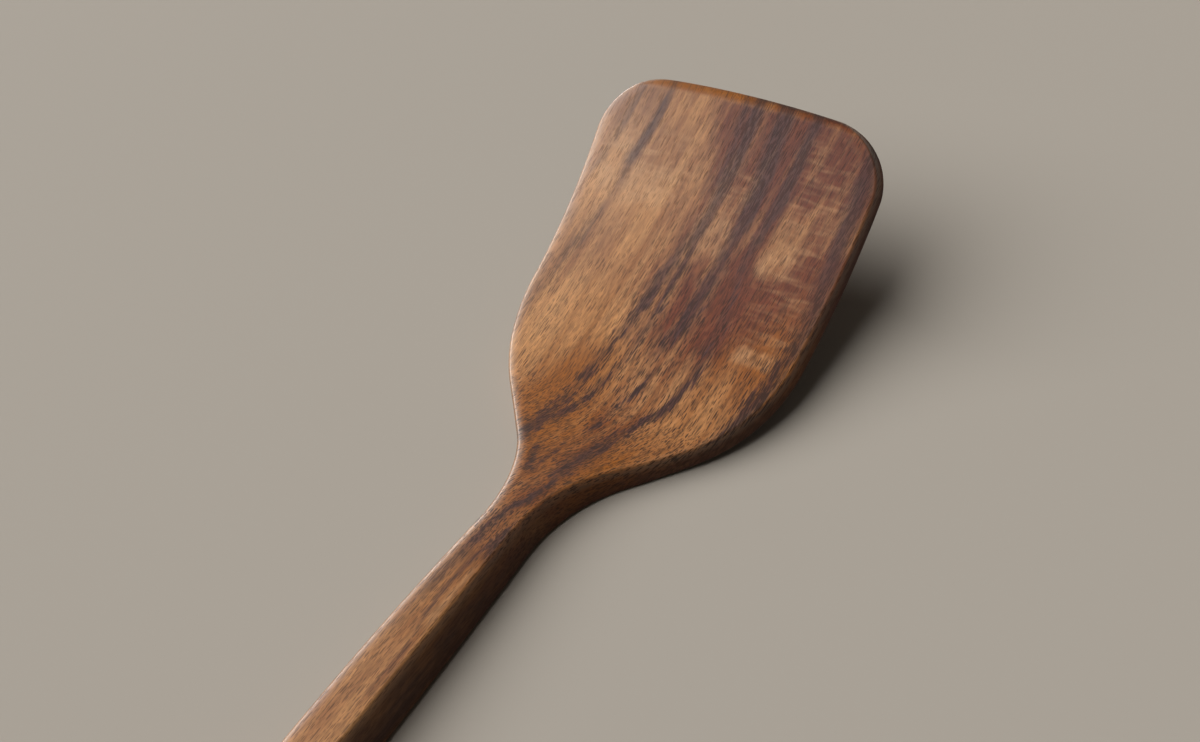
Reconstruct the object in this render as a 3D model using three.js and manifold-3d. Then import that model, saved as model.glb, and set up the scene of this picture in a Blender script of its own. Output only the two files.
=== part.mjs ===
// A wooden cooking spatula: a broad blade that curls up towards its front, so that it scoops, on a slim
// handle that swells towards the grip. The two meet at the neck in a glued round spigot and bore.
//
// Millimetres. +X runs from the butt of the handle to the front of the blade, +Y is to the left, and +Z is
// up, out of the hollow face. The spatula lies on its handle's flat underside at z = 0, and the origin is
// on that plane, under the middle of its length.

import * as THREE from "three";
import Module from "manifold-3d";

// Handle
const HANDLE_LENGTH = 195; // butt to neck, the narrowest place
const GRIP_FROM_NECK = 70; // where the handle has swelled to its full size, behind the neck
const GRIP_WIDTH = 14;
const GRIP_THICKNESS = 13.9;
const NECK_WIDTH = 12;
const NECK_THICKNESS = 11.2;
const HANDLE_EDGE_RADIUS = 1.9; // the handle's four long edges
const BUTT_RADIUS = 5; // rounding all round the butt

// Blade, measured along its back from the neck
const BLADE_LENGTH = 137.5;
const BLADE_WIDTH = 86; // where the sides would meet the front
const SIDE_FLARE = 1.75; // degrees by which each side still widens
const SHOULDER_RADIUS = 51.5; // flank to side
const FLANK_ANGLE = 41.7; // degrees between a flank and the handle
const NECK_FILLET = 39.5; // neck to flank
const CORNER_RADIUS = 16.8; // the two front corners
const FRONT_BOW = 2.6; // by which the sides end behind the middle of the front
const BLADE_EDGE_RADIUS = 1.1; // edge of face and back
const EDGE_EASE_LENGTH = 50; // past the neck, where the handle's edge has become the blade's

// Thickness, curl and front edge of the blade
const ROOT_THICKNESS = 7.5; // of the tapering board, taken back to the neck
const COVE_LENGTH = 43.5; // past the neck, where the handle has sunk into that board
const HEEL_FROM_NECK = 23.5; // where the back leaves the straight line
const BACK_RADIUS = 147;
const FRONT_THICKNESS = 4.2; // before the front edge is rounded
const FRONT_ROUNDING = 3; // length of that rounding
const FRONT_LAND = 0.4; // flat left at the very front
const LAND_ABOVE_BACK = 1.6; // height of that flat over the back

// Glued joint at the neck
const JOINT_FROM_NECK = 6; // the shoulder plane, behind the neck
const SPIGOT_DIAMETER = 6;
const SPIGOT_LENGTH = 18;
const SPIGOT_CHAMFER = 0.8;
const GLUE_GAP = 0.3; // between spigot and bore, all round and at the tip

// Fineness of the facets
const EDGE_STEPS = 4; // on each rounded edge of a section
const BLADE_FLAT_STEPS = 6; // across its face and its back
const HANDLE_FLAT_STEPS = 1;
const ROUNDING_LIMIT = 0.48; // most of a section's width or thickness that one edge may take
const ARC_STEPS = 5; // half the steps on each arc of the plan
const BUTT_STEPS = 5;
const STATION_SPACING = 6; // longest stretch between two sections of the blade
const HANDLE_STATIONS = 20;
const ROUND_SIDES = 24;

const WOOD_COLOR = 0x7b4a2b; // oiled brown heartwood
const WOOD_ROUGHNESS = 0.5;

const { clamp, degToRad, lerp, smoothstep } = THREE.MathUtils;
const wasm = await Module();
wasm.setup();

// In what follows s is the distance along the back, ahead of the neck, so it is negative on the handle.

// Share of the grip's extra size at s: a parabola, level at the grip and nothing at the neck.
function swell(s) {
  const towardsNeck = clamp(1 + s / GRIP_FROM_NECK, 0, 1);
  return 1 - towardsNeck ** 2;
}

function handleHalfWidth(s) {
  return lerp(NECK_WIDTH, GRIP_WIDTH, swell(s)) / 2;
}

// Swelling behind the neck; ahead of it an evenly tapering board, into which what the neck has more sinks.
function thickness(s) {
  if (s < 0) return lerp(NECK_THICKNESS, GRIP_THICKNESS, swell(s));
  const board = lerp(ROOT_THICKNESS, FRONT_THICKNESS, s / BLADE_LENGTH);
  return board + (NECK_THICKNESS - ROOT_THICKNESS) * (1 - smoothstep(s, 0, COVE_LENGTH));
}

function edgeRadius(s) {
  return lerp(HANDLE_EDGE_RADIUS, BLADE_EDGE_RADIUS, clamp(s / EDGE_EASE_LENGTH, 0, 1));
}

// How far a quarter-round of the given radius has drawn the surface in, at a distance from where it ends.
function drawnIn(distance, radius) {
  const reach = radius - clamp(distance, 0, radius);
  return radius - Math.sqrt(radius ** 2 - reach ** 2);
}

// How far the bow of the front draws a point back: by the square of its place off the middle, and fading
// out halfway down the blade.
function bowedBack(s, side) {
  const forward = clamp(2 * s / BLADE_LENGTH - 1, 0, 1);
  return FRONT_BOW * forward ** 2 * (2 * side / BLADE_WIDTH) ** 2;
}

// A point at s, off to the side and above the back, which is straight up to the heel and an arc after it.
function place(s, side, above) {
  const along = s - bowedBack(s, side);
  const turn = Math.max(0, along - HEEL_FROM_NECK) / BACK_RADIUS;
  const x = Math.min(along, HEEL_FROM_NECK) + (BACK_RADIUS - above) * Math.sin(turn);
  const z = BACK_RADIUS - (BACK_RADIUS - above) * Math.cos(turn);
  return new THREE.Vector3(x, side, z);
}

// One cross-section at s: a rectangle with rounded corners, anticlockwise as seen from the front.
function section(s, halfWidth, bottom, top, flatSteps) {
  const radius = Math.min(edgeRadius(s), ROUNDING_LIMIT * Math.min(top - bottom, 2 * halfWidth));
  const flat = halfWidth - radius;
  const ring = [];
  const roundEdge = (side, height, quarter) => {
    for (let step = 0; step <= EDGE_STEPS; step += 1) {
      const angle = (quarter + step / EDGE_STEPS) * Math.PI / 2;
      ring.push(place(s, side + radius * Math.cos(angle), height + radius * Math.sin(angle)));
    }
  };
  const flatStretch = (from, to, height) => {
    for (let step = 1; step < flatSteps; step += 1) {
      ring.push(place(s, lerp(from, to, step / flatSteps), height));
    }
  };
  roundEdge(flat, top - radius, 0);
  flatStretch(flat, -flat, top);
  roundEdge(-flat, top - radius, 1);
  roundEdge(-flat, bottom + radius, 2);
  flatStretch(-flat, flat, bottom);
  roundEdge(flat, bottom + radius, 3);
  return ring;
}

// A circle across the handle's axis.
function circle(x, radius) {
  const ring = [];
  for (let step = 0; step < ROUND_SIDES; step += 1) {
    const angle = 2 * Math.PI * step / ROUND_SIDES;
    ring.push(new THREE.Vector3(x, radius * Math.cos(angle), NECK_THICKNESS / 2 + radius * Math.sin(angle)));
  }
  return ring;
}

// A closed solid through a row of rings, each with as many points as the next. Either end is closed by a
// strip that joins one half of its ring to the other.
function loft(rings) {
  const count = rings[0].length;
  const last = (rings.length - 1) * count;
  const triangles = [];
  for (let start = 0; start < last; start += count) {
    for (let point = 0; point < count; point += 1) {
      const next = (point + 1) % count;
      triangles.push(start + point, start + next, start + count + next);
      triangles.push(start + point, start + count + next, start + count + point);
    }
  }
  for (let point = 0; point < count / 2 - 1; point += 1) {
    const facing = count - 1 - point;
    triangles.push(point, facing - 1, point + 1, point, facing, facing - 1);
    triangles.push(last + point, last + point + 1, last + facing - 1);
    triangles.push(last + point, last + facing - 1, last + facing);
  }
  const vertProperties = new Float32Array(rings.flat().flatMap((point) => point.toArray()));
  const triVerts = new Uint32Array(triangles);
  return new wasm.Manifold(new wasm.Mesh({ numProp: 3, vertProperties, triVerts }));
}

// The left half of the blade's plan from the joint to the front, as points of s and half width.
function bladePlan() {
  const flank = degToRad(FLANK_ANGLE);
  const flare = degToRad(SIDE_FLARE);
  const filletHeight = NECK_WIDTH / 2 + NECK_FILLET;
  const flankStart = new THREE.Vector2(Math.sin(flank), -Math.cos(flank)).multiplyScalar(NECK_FILLET);
  flankStart.y += filletHeight;

  // The corner that flank and side would make, and the shoulder's arc that rounds it.
  const sideAtNeck = BLADE_WIDTH / 2 - BLADE_LENGTH * Math.tan(flare);
  const flankAtNeck = flankStart.y - flankStart.x * Math.tan(flank);
  const meeting = (sideAtNeck - flankAtNeck) / (Math.tan(flank) - Math.tan(flare));
  const corner = new THREE.Vector2(meeting, sideAtNeck + meeting * Math.tan(flare));
  const halfTurn = (flank - flare) / 2;
  const shoulder = Math.min(SHOULDER_RADIUS, corner.distanceTo(flankStart) / Math.tan(halfTurn));
  const toCentre = shoulder / Math.cos(halfTurn);
  const inward = flare + halfTurn - Math.PI / 2;

  const plan = new THREE.Path();
  plan.absarc(0, filletHeight, NECK_FILLET, -Math.PI / 2, flank - Math.PI / 2, false);
  plan.absarc(
    corner.x + toCentre * Math.cos(inward),
    corner.y + toCentre * Math.sin(inward),
    shoulder,
    Math.PI / 2 + flank,
    Math.PI / 2 + flare,
    true,
  );
  const cornerStart = BLADE_LENGTH - CORNER_RADIUS;
  const cornerSide = sideAtNeck + cornerStart * Math.tan(flare) - CORNER_RADIUS / Math.cos(flare);
  plan.absarc(cornerStart, cornerSide, CORNER_RADIUS, Math.PI / 2 + flare, 0, true);
  const joint = new THREE.Vector2(-JOINT_FROM_NECK, handleHalfWidth(-JOINT_FROM_NECK));
  return [joint, ...plan.getPoints(ARC_STEPS)];
}

// The same points with more between those that lie too far apart to follow the curl.
function fillIn(points, spacing) {
  const filled = [points[0]];
  for (let index = 1; index < points.length; index += 1) {
    const gap = points[index - 1].distanceTo(points[index]);
    const steps = Math.ceil(gap / spacing);
    for (let step = 1; step <= steps; step += 1) {
      filled.push(points[index - 1].clone().lerp(points[index], step / steps));
    }
  }
  return filled;
}

function buildHandle() {
  const butt = -HANDLE_LENGTH;
  const stations = [];
  for (let step = 0; step < BUTT_STEPS; step += 1) {
    stations.push(butt + BUTT_RADIUS * (1 - Math.cos(step / BUTT_STEPS * Math.PI / 2)));
  }
  for (let step = 0; step <= HANDLE_STATIONS; step += 1) {
    stations.push(lerp(butt + BUTT_RADIUS, -JOINT_FROM_NECK, step / HANDLE_STATIONS));
  }
  const shaft = loft(stations.map((s) => {
    const inset = drawnIn(s - butt, BUTT_RADIUS);
    return section(s, handleHalfWidth(s) - inset, inset, thickness(s) - inset, HANDLE_FLAT_STEPS);
  }));

  const tip = SPIGOT_LENGTH - JOINT_FROM_NECK;
  const radius = SPIGOT_DIAMETER / 2;
  const rootedAt = -JOINT_FROM_NECK - SPIGOT_DIAMETER;
  const spigot = loft([
    circle(rootedAt, radius),
    circle(tip - SPIGOT_CHAMFER, radius),
    circle(tip, radius - SPIGOT_CHAMFER),
  ]);
  return shaft.add(spigot);
}

function buildBlade() {
  const stations = fillIn(bladePlan(), STATION_SPACING);
  const board = loft(stations.map(({ x: s, y: halfWidth }) => {
    const rounded = drawnIn(BLADE_LENGTH - s, FRONT_ROUNDING) / FRONT_ROUNDING;
    const bottom = lerp(0, LAND_ABOVE_BACK, rounded);
    const top = lerp(thickness(s), LAND_ABOVE_BACK + FRONT_LAND, rounded);
    return section(s, halfWidth, bottom, top, BLADE_FLAT_STEPS);
  }));

  const boreRadius = SPIGOT_DIAMETER / 2 + GLUE_GAP;
  const boreEnd = SPIGOT_LENGTH - JOINT_FROM_NECK + GLUE_GAP;
  const bore = loft([circle(-JOINT_FROM_NECK - SPIGOT_DIAMETER, boreRadius), circle(boreEnd, boreRadius)]);
  return board.subtract(bore);
}

function woodenMesh(name, solid) {
  const { vertProperties, triVerts } = solid.getMesh();
  const geometry = new THREE.BufferGeometry();
  geometry.setAttribute("position", new THREE.BufferAttribute(vertProperties, 3));
  geometry.setIndex(new THREE.BufferAttribute(triVerts, 1));
  geometry.computeVertexNormals();
  const material = new THREE.MeshStandardMaterial({
    color: WOOD_COLOR,
    roughness: WOOD_ROUGHNESS,
    metalness: 0,
  });
  const mesh = new THREE.Mesh(geometry, material);
  mesh.name = name;
  return mesh;
}

const spatula = new THREE.Group();
spatula.add(woodenMesh("handle", buildHandle()));
spatula.add(woodenMesh("blade", buildBlade()));
const extent = new THREE.Box3().setFromObject(spatula);
spatula.position.x = -(extent.min.x + extent.max.x) / 2;

export default spatula;
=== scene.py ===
"""Looks of the wooden spatula: finely curved blade and handle in oiled acacia, on a plain pale floor.

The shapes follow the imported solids: a blade whose back is straight up to the heel and then curls up on one
arc, and a handle that swells towards the grip. Both are rings of a rounded rectangle carried along the back.
"""

import math

import bpy
import numpy as np
from bpy.props import FloatProperty, FloatVectorProperty, PointerProperty, StringProperty
from mathutils import Matrix, Vector


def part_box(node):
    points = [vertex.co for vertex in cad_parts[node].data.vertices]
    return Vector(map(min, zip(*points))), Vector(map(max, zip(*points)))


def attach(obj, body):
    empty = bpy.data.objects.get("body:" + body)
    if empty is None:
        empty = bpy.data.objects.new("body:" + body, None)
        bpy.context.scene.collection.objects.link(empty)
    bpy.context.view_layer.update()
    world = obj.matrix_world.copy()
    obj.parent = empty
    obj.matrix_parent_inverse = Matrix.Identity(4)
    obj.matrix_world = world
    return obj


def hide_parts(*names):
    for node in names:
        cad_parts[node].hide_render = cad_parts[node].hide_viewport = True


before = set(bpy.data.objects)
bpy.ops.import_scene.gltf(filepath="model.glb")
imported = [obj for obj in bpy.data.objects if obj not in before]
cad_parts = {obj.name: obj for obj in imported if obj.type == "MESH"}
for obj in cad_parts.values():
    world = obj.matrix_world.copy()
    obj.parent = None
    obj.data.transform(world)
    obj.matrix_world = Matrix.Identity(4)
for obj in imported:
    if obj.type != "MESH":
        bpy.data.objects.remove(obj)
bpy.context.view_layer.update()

bl_info = {
    "name": "Wooden Spatula",
    "version": (1, 0, 0),
    "blender": (4, 5, 0),
    "location": "View3D > Sidebar > Spatula",
    "description": "Builds a scooped wooden spatula with its oiled finish and a plain stage",
    "category": "Mesh",
}

MM = 0.001
BODY = "root"

# The blade begins at the joint, which lies a little behind the neck, the narrowest place.
HANDLE_LOW, HANDLE_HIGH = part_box("handle")
JOINT_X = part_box("blade")[0].x
JOINT_FROM_NECK = 6 * MM
NECK_X = JOINT_X + JOINT_FROM_NECK

# How finely the pieces are drawn: steps on a quarter of a rounded edge, across a flat and up a wall.
EDGE_STEPS = 9
HANDLE_FLAT_STEPS, HANDLE_WALL_STEPS = 14, 8
BLADE_FLAT_STEPS, BLADE_WALL_STEPS = 64, 5

# Rings on the rounded butt, on the shaft, on the blade up to its front corners, and on those corners.
BUTT_RINGS, SHAFT_RINGS = 14, 190
BOARD_RINGS, CORNER_RINGS = 200, 60

# Rounded edges take at most this share of the smaller side of a section, so that two of them always fit.
MOST_ROUNDED = 0.48

# Faces that meet at more than this are drawn with a sharp edge between them.
SHARP_ANGLE = math.radians(40)


# Properties


def length(name, description, default):
    """A length property in metres."""
    return FloatProperty(name=name, description=description, default=default, unit="LENGTH", min=0.0)


def angle_of(name, description, degrees):
    """An angle property, with its default given in degrees."""
    return FloatProperty(name=name, description=description, default=math.radians(degrees), subtype="ANGLE")


def fraction(name, description, default):
    """A property from 0 to 1."""
    return FloatProperty(name=name, description=description, default=default, subtype="FACTOR", min=0, max=1)


def contrast(name, description, default):
    """A property that multiplies a pattern."""
    return FloatProperty(name=name, description=description, default=default)


def colour(name, description, default):
    """A colour property kept as an sRGB hex value."""
    return StringProperty(name=name, description=description, default=default)


class HandleSizes(bpy.types.PropertyGroup):
    """Sizes of the handle, from the butt to the joint behind the neck."""

    handle_length: length("Length", "Butt to neck, the narrowest place", NECK_X - HANDLE_LOW.x)
    grip_from_neck: length("Grip from neck", "Place of the fullest part of the grip behind the neck", 70 * MM)
    grip_width: length("Grip width", "Width of the handle where it is fullest", HANDLE_HIGH.y - HANDLE_LOW.y)
    grip_thickness: length("Grip thickness", "Thickness there", HANDLE_HIGH.z - HANDLE_LOW.z)
    neck_width: length("Neck width", "Width at the narrowest place", 12 * MM)
    neck_thickness: length("Neck thickness", "Thickness at the narrowest place", 11.2 * MM)
    edge_radius: length("Edge radius", "Rounding of the lower long edges", 1.9 * MM)
    soft_radius: length("Soft radius", "Rounding of the upper left edge, which runs into the crown", 1.5 * MM)
    crisp_radius: length("Crisp radius", "Rounding of the upper right edge, which is left crisper", 0.7 * MM)
    butt_radius: length("Butt radius", "Rounding all round the butt", 5 * MM)
    crown_width: length("Crown width", "Margin of the upper side that falls off towards the edges", 4.2 * MM)
    crown_left: length("Crown left", "How far that margin falls at the left edge", 0.9 * MM)
    crown_right: length("Crown right", "How far it falls at the right edge", 0.15 * MM)
    wall_lean: length("Wall lean", "How far the right wall leans in at its top", 1.3 * MM)
    spigot_diameter: length("Spigot diameter", "Round spigot that goes into the blade", 6 * MM)
    spigot_length: length("Spigot length", "Length of that spigot", HANDLE_HIGH.x - JOINT_X)
    spigot_chamfer: length("Spigot chamfer", "Chamfer at the tip of the spigot", 0.8 * MM)


class BladeSizes(bpy.types.PropertyGroup):
    """Sizes of the blade, measured along its back from the neck."""

    blade_length: length("Length", "Neck to front along the back", 137.5 * MM)
    blade_width: length("Width", "Width where the sides would meet the front", 86 * MM)
    side_flare: angle_of("Side flare", "Angle by which each side widens", 1.75)
    shoulder_radius: length("Shoulder radius", "Arc from flank to side", 51.5 * MM)
    flank_angle: angle_of("Flank angle", "Angle of a flank to the handle", 41.7)
    neck_fillet: length("Neck fillet", "Arc from neck to flank", 39.5 * MM)
    corner_radius: length("Corner radius", "Rounding of the front corners in plan", 16.8 * MM)
    front_bow: length("Front bow", "How far the sides end behind the middle of the front", 2.6 * MM)
    edge_radius: length("Edge radius", "Rounding of the edges of the back", 1.1 * MM)
    soft_radius: length("Soft radius", "Rounding of the face's left edge, beside the margin", 1.3 * MM)
    crisp_radius: length("Crisp radius", "Rounding of the face's right edge, which is left crisper", 0.5 * MM)
    edge_ease: length("Edge ease", "Where the handle's rounding has become the blade's", 50 * MM)
    heel_from_neck: length("Heel from neck", "Where the back leaves the straight line", 23.5 * MM)
    back_radius: length("Back radius", "Radius of the curl, on the back", 147 * MM)
    root_thickness: length("Root thickness", "Thickness that the taper starts from, under the cove", 7.5 * MM)
    cove_length: length("Cove length", "Stretch in which the face sinks from neck to taper", 43.5 * MM)
    front_thickness: length("Front thickness", "Thickness before the front is rounded", 4.2 * MM)
    front_rounding: length("Front rounding", "Length of the rounding at the front", 3 * MM)
    front_land: length("Front land", "Flat left at the very front", 0.4 * MM)
    land_above_back: length("Land above back", "Height of that flat over the back", 1.6 * MM)
    glue_gap: length("Glue gap", "Gap round the spigot in its bore", 0.3 * MM)
    sanded_width: length("Sanded width", "Margin of the face that sanding has eased down", 4.5 * MM)
    sanded_left: length("Sanded left", "How far that margin falls at the left edge", 0.7 * MM)
    sanded_right: length("Sanded right", "How far it falls at the right edge", 0.2 * MM)
    wall_lean: length("Wall lean", "How far the right wall leans in at its top", 1.0 * MM)
    fall_ease: length("Fall ease", "Where the handle's crown and lean have become the blade's", 30 * MM)


class WoodLook(bpy.types.PropertyGroup):
    """Colours and grain of the oiled wood."""

    pale: colour("Pale wood", "Colour of the palest layers", "#b78250")
    brown: colour("Brown wood", "Colour of the reddish heartwood", "#602b12")
    orange: colour("Orange wood", "Colour of the oil-soaked wood where the grain dives", "#864c0d")
    # Also the colour towards which the painted shade darkens the right wall.
    streak: colour("Dark streak", "Colour of the dark streaks", "#3f2625")
    root_streak: colour("Root streak", "Colour of the dark streaks in the orange wood", "#4d260e")
    # Also the colour of the painted highlight line along the handle's right crease.
    honey_and_highlight: colour("Honey figure", "Colour of the lit patches of figure", "#bb8c60")
    pore: colour("Pores", "Colour inside the open pores", "#2c170d")
    # Paler colour of the upper edges and the left of the face: partly where use has rubbed the oil off,
    # partly a painted highlight and sheen on the side the light comes from.
    wear_and_sheen: colour("Worn edge", "Colour of the upper edges, where the oil has worn off", "#c8ab90")
    roughness: fraction("Roughness", "Satin of the oiled face", 0.45)
    wall_roughness: fraction("Wall roughness", "Satin of the walls, which are rubbed less", 0.65)
    edge_roughness: fraction("Edge roughness", "Gloss of the upper edges, which use has burnished", 0.25)
    pore_length: length("Pore length", "Spacing of the pores along the grain", 5.5 * MM)
    pore_width: length("Pore width", "Spacing of the pores across the grain", 0.64 * MM)
    fibre_length: length("Fibre length", "Spacing of the finest grain along the grain", 3.0 * MM)
    fibre_width: length("Fibre width", "Spacing of the finest grain across it", 0.44 * MM)
    fibre_contrast: contrast("Fibre contrast", "How strongly the finest grain shows", 2.7)
    strand_length: length("Strand length", "Spacing of the strands of like tone along the grain", 9 * MM)
    strand_width: length("Strand width", "Spacing of the strands across the grain", 1.5 * MM)
    strand_contrast: contrast("Strand contrast", "How strongly the strands show", 2.0)
    growth_length: length("Growth length", "Length in which a soft growth line changes", 90 * MM)
    growth_width: length("Growth width", "Spacing of the soft growth lines", 2.8 * MM)
    cloud_length: length("Cloud length", "Spacing of the clouds of brown wood along the grain", 24 * MM)
    cloud_width: length("Cloud width", "Spacing of the clouds across the grain", 8 * MM)
    spot_length: length("Spot length", "Spacing of the spots that fray patches and streaks, along", 8 * MM)
    spot_width: length("Spot width", "Spacing of those spots across the grain", 4 * MM)
    ripple_length: length("Ripple length", "Spacing of the cross ripples along the grain", 2.1 * MM)
    ripple_width: length("Ripple width", "How far a cross ripple reaches across the grain", 9 * MM)


class StageLook(bpy.types.PropertyGroup):
    """Floor and camera."""

    floor: colour("Floor", "Colour of the plain floor", "#b3aba0")
    aim: FloatVectorProperty(
        name="Aim",
        description="Point in the middle of the picture",
        default=(79.32 * MM, 0.09 * MM, 18 * MM),
        subtype="TRANSLATION",
    )
    distance: length("Distance", "From the aim to the camera", 368.87 * MM)
    azimuth: angle_of("Azimuth", "Side on which the camera stands", -134.319)
    elevation: angle_of("Elevation", "Height of the camera", 45.631)
    roll: angle_of("Roll", "Turn about the line of sight", -15.683)
    lens: FloatProperty(name="Lens", description="Focal length of the camera", default=45.0, unit="CAMERA")


# Shape. Everywhere s is the distance along the back, ahead of the neck, and side is the distance to the left
# of the middle.


def eased(value, low, high):
    """Smooth step from 0 at low to 1 at high."""
    share = np.clip((value - low) / (high - low), 0, 1)
    return share * share * (3 - 2 * share)


def swell(s, sizes):
    """Share of the grip's extra size at s: a parabola, level at the grip and nothing at the neck."""
    return 1 - np.clip(1 + s / sizes.grip_from_neck, 0, 1) ** 2


def handle_half_width(s, sizes):
    """Half the handle's width at s: the neck's, plus the swell's share of what the grip has more."""
    return (sizes.neck_width + (sizes.grip_width - sizes.neck_width) * swell(s, sizes)) / 2


def thickness(s, handle, blade):
    """Thickness at s: swelling behind the neck, and an even taper ahead of it, on which the neck's extra
    thickness sinks away in a smooth step."""
    behind = handle.neck_thickness + (handle.grip_thickness - handle.neck_thickness) * swell(s, handle)
    taper = blade.root_thickness + (blade.front_thickness - blade.root_thickness) * s / blade.blade_length
    ahead = taper + (handle.neck_thickness - blade.root_thickness) * (1 - eased(s, 0, blade.cove_length))
    return np.where(s < 0, behind, ahead)


def drawn_in(distance, radius):
    """How far a quarter-round has drawn the surface in, at a distance from its end."""
    reach = radius - np.clip(distance, 0, radius)
    return radius - np.sqrt(radius**2 - reach**2)


def blade_half_width(s, handle, blade):
    """Half the blade's width at s: a fillet out of the neck, a straight flank, a shoulder, a side that still
    widens a little and a round corner, each arc tangent to the lines it joins."""
    flank, flare = blade.flank_angle, blade.side_flare
    neck = handle.neck_width / 2
    flank_s = blade.neck_fillet * math.sin(flank)
    flank_w = neck + blade.neck_fillet * (1 - math.cos(flank))
    side_at_neck = blade.blade_width / 2 - blade.blade_length * math.tan(flare)
    meet_s = (side_at_neck - flank_w + flank_s * math.tan(flank)) / (math.tan(flank) - math.tan(flare))
    meet_w = side_at_neck + meet_s * math.tan(flare)
    cut = blade.shoulder_radius * math.tan((flank - flare) / 2)
    shoulder_s = meet_s - cut * math.cos(flank)
    side_s = meet_s + cut * math.cos(flare)
    centre_s = shoulder_s + blade.shoulder_radius * math.sin(flank)
    centre_w = meet_w - cut * math.sin(flank) - blade.shoulder_radius * math.cos(flank)
    corner_s = blade.blade_length - blade.corner_radius
    corner_w = side_at_neck + corner_s * math.tan(flare) - blade.corner_radius / math.cos(flare)
    round_s = corner_s - blade.corner_radius * math.sin(flare)

    def arc(radius, offset):
        return np.sqrt(np.maximum(radius**2 - offset**2, 0))

    stretches = [s < 0, s < flank_s, s < shoulder_s, s < side_s, s < round_s]
    widths = [
        handle_half_width(s, handle),
        neck + blade.neck_fillet - arc(blade.neck_fillet, s),
        flank_w + (s - flank_s) * math.tan(flank),
        centre_w + arc(blade.shoulder_radius, s - centre_s),
        side_at_neck + s * math.tan(flare),
    ]
    return np.select(stretches, widths, corner_w + arc(blade.corner_radius, s - corner_s))


def ring_pattern(flat_steps, wall_steps):
    """A rounded rectangle without its sizes, anticlockwise as seen from the front. Each point has a place
    across the flat from -1 to 1, a place up the wall from 0 to 1, and a direction on the rounded edge."""
    quarter = np.linspace(0, math.pi / 2, EDGE_STEPS + 1)
    across = np.linspace(1, -1, flat_steps + 1)[1:-1]
    down = np.linspace(1, 0, wall_steps + 1)[1:-1]
    one, zero = np.ones_like(quarter), np.zeros_like(quarter)
    flat_one, wall_one = np.ones_like(across), np.ones_like(down)
    parts = [
        (one, one, quarter),
        (across, flat_one, flat_one * math.pi / 2),
        (-one, one, quarter + math.pi / 2),
        (-wall_one, down, wall_one * math.pi),
        (-one, zero, quarter + math.pi),
        (-across, flat_one * 0, flat_one * 1.5 * math.pi),
        (one, zero, quarter + 1.5 * math.pi),
        (wall_one, down[::-1], wall_one * 2 * math.pi),
    ]
    flat, wall, angle = (np.concatenate(column) for column in zip(*parts))
    return flat, wall, np.cos(angle), np.sin(angle)


def sections(s, half_width, bottom, top, radii, pattern):
    """Side and height of every ring point at every station: the pattern's flat and wall places between the
    centres of the rounded edges, plus the edge's radius in the pattern's direction. The radii are those of
    the lower edges, the upper left one and the upper right one."""
    flat, wall, cosine, sine = pattern
    limit = MOST_ROUNDED * np.minimum(top - bottom, 2 * half_width)
    under, left, right = (np.minimum(radius, limit)[:, None] for radius in radii)
    over = np.where(flat < 0, right, left)
    radius = np.where(wall == 1, over, under)
    low, high = bottom[:, None] + under, top[:, None] - over
    side = (half_width[:, None] - radius) * flat + radius * cosine
    height = low + (high - low) * wall + radius * sine
    return side, height


def sanded_off(side, up, half_width, margin, left, right):
    """How far sanding has taken the upper side down: a parabola over a margin along each edge, as deep as
    that edge's fall at the edge itself, and less down the wall until there is none at the back."""
    inwards = np.clip((np.abs(side) - half_width[:, None]) / margin[:, None] + 1, 0, 1)
    fall = np.where(side > 0, left[:, None], right[:, None])
    return fall * inwards**2 * up


def leaned(side, up, half_width, lean):
    """Sides of the points with the right wall leaning in: those right of the middle shrink by a share that
    grows from nothing at the back to the lean over half the width at the face."""
    return np.where(side < 0, side * (1 - (lean / half_width)[:, None] * up), side)


def gone_over(on_handle, on_blade, share):
    """A size that goes over from the handle's to the blade's by a share."""
    return on_handle + (on_blade - on_handle) * share


def worked_rings(s, half_width, bottom, top, handle, blade, pattern):
    """Rings of a piece: its sections, with the upper side sanded down along the edges and the right wall
    leaning in. Ahead of the neck the handle's edges go over into the blade's: their rounding and margin
    evenly, how far they fall and lean in a smooth step."""
    evenly = np.clip(s / blade.edge_ease, 0, 1)
    smoothly = eased(s, 0, blade.fall_ease)
    radii = [
        gone_over(handle.edge_radius, blade.edge_radius, evenly),
        gone_over(handle.soft_radius, blade.soft_radius, evenly),
        gone_over(handle.crisp_radius, blade.crisp_radius, evenly),
    ]
    margin = gone_over(handle.crown_width, blade.sanded_width, evenly)
    left = gone_over(handle.crown_left, blade.sanded_left, smoothly)
    right = gone_over(handle.crown_right, blade.sanded_right, smoothly)
    lean = gone_over(handle.wall_lean, blade.wall_lean, smoothly)
    side, height = sections(s, half_width, bottom, top, radii, pattern)
    up = (height - bottom[:, None]) / (top - bottom)[:, None]
    above = height - sanded_off(side, up, half_width, margin, left, right)
    return np.broadcast_to(s[:, None], side.shape), leaned(side, up, half_width, lean), above


def placed(s, side, above, blade):
    """Points in the frame: along the back, which is straight to the heel and an arc after it, off to the side
    and above the back. The bow draws points back by the square of their place off the middle."""
    forward = np.clip(2 * s / blade.blade_length - 1, 0, 1)
    along = s - blade.front_bow * forward**2 * (2 * side / blade.blade_width) ** 2
    turn = np.maximum(0, along - blade.heel_from_neck) / blade.back_radius
    x = np.minimum(along, blade.heel_from_neck) + (blade.back_radius - above) * np.sin(turn)
    z = blade.back_radius - (blade.back_radius - above) * np.cos(turn)
    return np.stack([NECK_X + x, side, z], axis=-1)


def round_ring(s, radius, side, above, centre):
    """A circle at s about the joint's axis, with its points in line with those of a section."""
    angle = np.arctan2(above - centre, side)
    return np.full_like(side, s), radius * np.cos(angle), centre + radius * np.sin(angle)


def stacked(*rings):
    """Rows of rings, each (s, side, above), one after the other."""
    return tuple(np.concatenate([np.atleast_2d(ring[part]) for ring in rings]) for part in range(3))


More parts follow.
